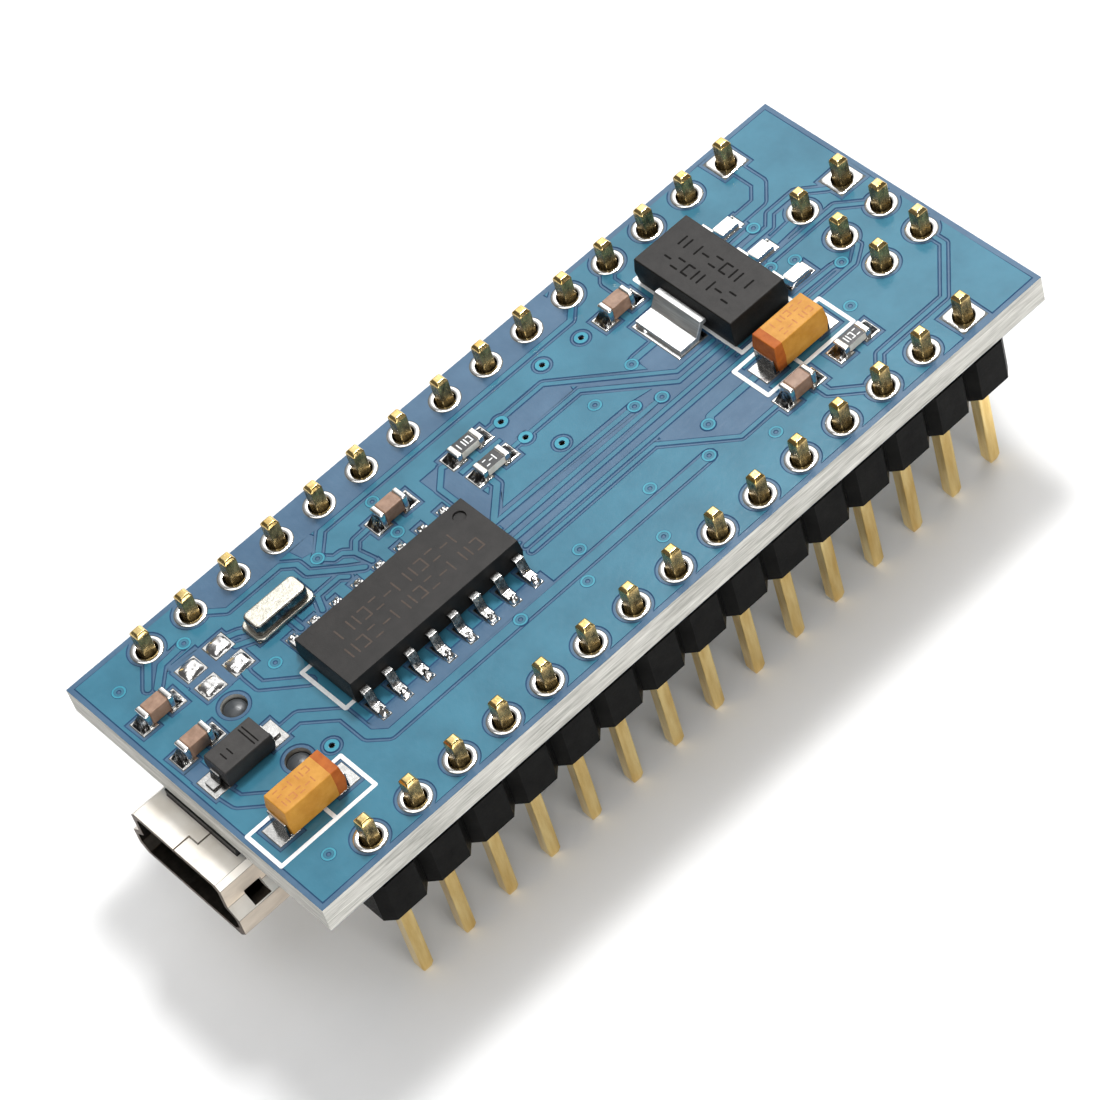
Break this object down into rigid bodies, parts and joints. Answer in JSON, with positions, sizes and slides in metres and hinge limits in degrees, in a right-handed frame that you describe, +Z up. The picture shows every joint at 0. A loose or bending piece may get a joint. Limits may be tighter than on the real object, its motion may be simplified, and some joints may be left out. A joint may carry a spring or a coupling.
{
  "type": "microcontroller dev board",
  "caption": "Slim microcontroller development board with two rows of header pins, a programming header, a mini USB port, a serial chip, a regulator and a reset button.",
  "frame": {"origin": "centre of the grid of header pins, level with the tips of the long pins, which is the plane that the board stands on", "axes": "+Z up, from the long pins towards the face with the serial chip; +X from the USB port towards the programming header, along the rows of pins; +Y across the rows"},
  "size_m": [0.0448, 0.0178, 0.0119],
  "materials": {
    "black_plastic": "satin",
    "brown_ceramic": "satin",
    "button_plastic": "satin",
    "can_metal": "satin nickel",
    "chip_resin": "fine matt",
    "clear_resin": "clear",
    "fibreglass": "matt cut edge",
    "gold_plate": "polished",
    "lamp_laminate": "satin",
    "nickel_plate": "bright nickel",
    "orange_resin": "satin",
    "resistor_film": "glazed",
    "solder": "bright",
    "solder_mask": "semi-gloss",
    "stainless": "brushed",
    "tan_ceramic": "fine matt ceramic",
    "tinned_copper": "bright tin",
    "tinned_lead": "bright tin"
  },
  "bodies": {
    "board": {"circuit_board": "fibreglass", "crystal_base": "can_metal", "crystal_can": "can_metal", "diode_case": "chip_resin", "diode_leads": "tinned_lead", "header_pins_left": "gold_plate", "header_pins_right": "gold_plate", "header_strip_left": "black_plastic", "header_strip_right": "black_plastic", "indicator_lamp_bases": "lamp_laminate", "indicator_lamp_ends": "gold_plate", "indicator_lamp_lenses": "clear_resin", "lower_capacitor_bodies": "tan_ceramic", "lower_capacitor_ends": "tinned_lead", "lower_resistor_bodies": "resistor_film", "lower_resistor_ends": "tinned_lead", "microcontroller_case": "chip_resin", "microcontroller_leads": "tinned_lead", "plated_holes": "tinned_copper", "programming_pins": "gold_plate", "programming_strip": "black_plastic", "regulator_case": "chip_resin", "regulator_leads": "tinned_lead", "reset_button_case": "black_plastic", "reset_button_cover": "stainless", "reset_button_dome": "stainless", "reset_button_leads": "tinned_lead", "resistor_array_bodies": "resistor_film", "resistor_array_ends": "tinned_lead", "resonator_body": "brown_ceramic", "resonator_terminals": "tinned_lead", "serial_chip_case": "chip_resin", "serial_chip_leads": "tinned_lead", "solder_bumps": "solder", "solder_fillets_lower": "solder", "solder_fillets_upper": "solder", "solder_lands_lower": "tinned_copper", "solder_lands_upper": "tinned_copper", "solder_mask_lower": "solder_mask", "solder_mask_upper": "solder_mask", "tantalum_capacitor_cases": "orange_resin", "tantalum_capacitor_terminals": "tinned_lead", "upper_capacitor_bodies": "tan_ceramic", "upper_capacitor_ends": "tinned_lead", "upper_resistor_bodies": "resistor_film", "upper_resistor_ends": "tinned_lead", "usb_contacts": "gold_plate", "usb_insulator": "black_plastic", "usb_shell": "nickel_plate"},
    "plunger": {"reset_button_plunger": "button_plastic"}
  },
  "joints": [
    {"name": "reset_press", "type": "slide", "parent": "board", "child": "plunger", "axis": [0, 0, 1], "range_m": [0, 0.00025], "stiffness_N_per_m": 600, "springref_m": -0.00005}
  ]
}
